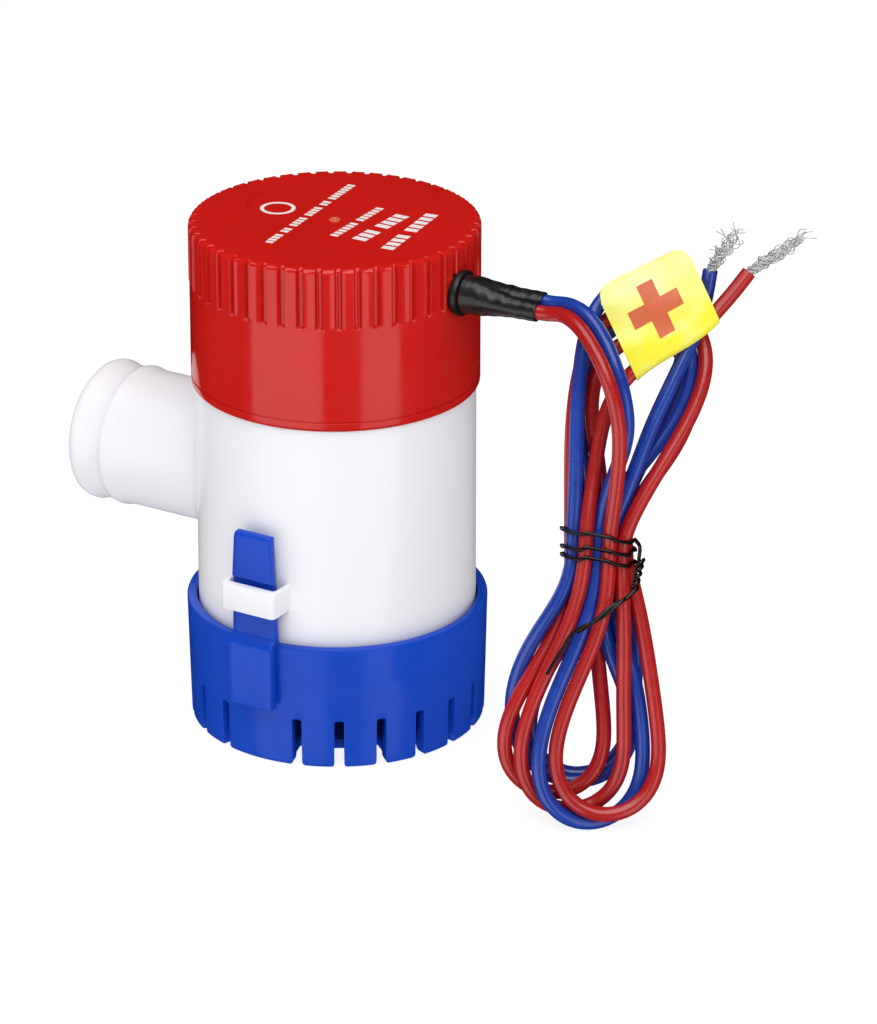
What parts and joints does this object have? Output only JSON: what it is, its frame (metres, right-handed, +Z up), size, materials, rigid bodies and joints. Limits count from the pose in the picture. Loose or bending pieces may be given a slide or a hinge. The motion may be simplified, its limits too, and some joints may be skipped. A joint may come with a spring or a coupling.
{
  "type": "bilge pump",
  "caption": "Submersible bilge pump with a ribbed motor cap, side hose outlet, slotted strainer base with release tabs, and hanked power wires.",
  "frame": {"origin": "on the pump's axis at the strainer base's underside, where it rests on the hull", "axes": "+Z up along the pump's axis, the hose outlet points along -X, the cable leaves along +X, release tabs at -Y and +Y"},
  "size_m": [0.1492, 0.068, 0.1147],
  "materials": {
    "red_plastic": "glossy moulded ABS",
    "white_plastic": "glossy moulded ABS",
    "blue_plastic": "semi-gloss moulded ABS",
    "nylon": "matte moulded nylon",
    "steel": "plated steel",
    "iron": "stamped laminations",
    "magnet": "sintered ferrite",
    "copper": "enamelled copper",
    "brass": "stamped brass",
    "bronze": "sintered bronze",
    "carbon": "pressed carbon",
    "rubber": "satin black rubber",
    "heat_shrink": "shrunk polyolefin with wrinkles",
    "red_wire": "semi-gloss PVC insulation",
    "blue_wire": "semi-gloss PVC insulation",
    "tinned_copper": "bright tinned strands",
    "tag_vinyl": "thin translucent vinyl",
    "tie_wire": "plastic-coated wire"
  },
  "bodies": {
    "strainer": {"strainer_base": "blue_plastic"},
    "tab_front": {"release_tab_front": "blue_plastic"},
    "tab_back": {"release_tab_back": "blue_plastic"},
    "pump": {"pump_housing": "white_plastic", "motor_cap": "red_plastic", "motor_canister": "nylon", "cable_grommet": "rubber", "heat_shrink_sleeve": "heat_shrink", "seal_ring": "rubber", "shaft_seal": "rubber", "motor_can": "steel", "motor_end_cap": "nylon", "lower_bearing": "bronze", "upper_bearing": "bronze", "magnet_left": "magnet", "magnet_right": "magnet", "motor_screw_left": "steel", "motor_screw_right": "steel", "brush_red": "carbon", "brush_blue": "carbon", "brush_arm_red": "brass", "brush_arm_blue": "brass", "terminal_red": "brass", "terminal_blue": "brass", "inside_wire_red": "red_wire", "inside_wire_blue": "blue_wire", "lead_red": "red_wire", "lead_blue": "blue_wire", "wire_hank": "red_wire", "tail_red": "red_wire", "tail_blue": "blue_wire", "strands_red": "tinned_copper", "strands_blue": "tinned_copper", "wire_tag": "tag_vinyl", "twist_tie": "tie_wire"},
    "rotor": {"shaft": "steel", "armature_core": "iron", "winding_1": "copper", "winding_2": "copper", "winding_3": "copper", "commutator": "copper", "thrust_washer_lower": "nylon", "thrust_washer_upper": "nylon", "impeller": "nylon"}
  },
  "joints": [
    {"name": "pump_lift", "type": "slide", "parent": "strainer", "child": "pump", "axis": [0, 0, 1], "range_m": [0, 0.07]},
    {"name": "rotor_spin", "type": "hinge", "parent": "pump", "child": "rotor", "pos_m": [0, 0, 0.047], "axis": [0, 0, 1], "continuous": true},
    {"name": "tab_front_press", "type": "hinge", "parent": "strainer", "child": "tab_front", "pos_m": [0, -0.0325, 0.013], "axis": [-1, 0, 0], "range_deg": [0, 2], "stiffness_Nm_per_rad": 1},
    {"name": "tab_back_press", "type": "hinge", "parent": "strainer", "child": "tab_back", "pos_m": [0, 0.0325, 0.013], "axis": [1, 0, 0], "range_deg": [0, 2], "stiffness_Nm_per_rad": 1}
  ]
}
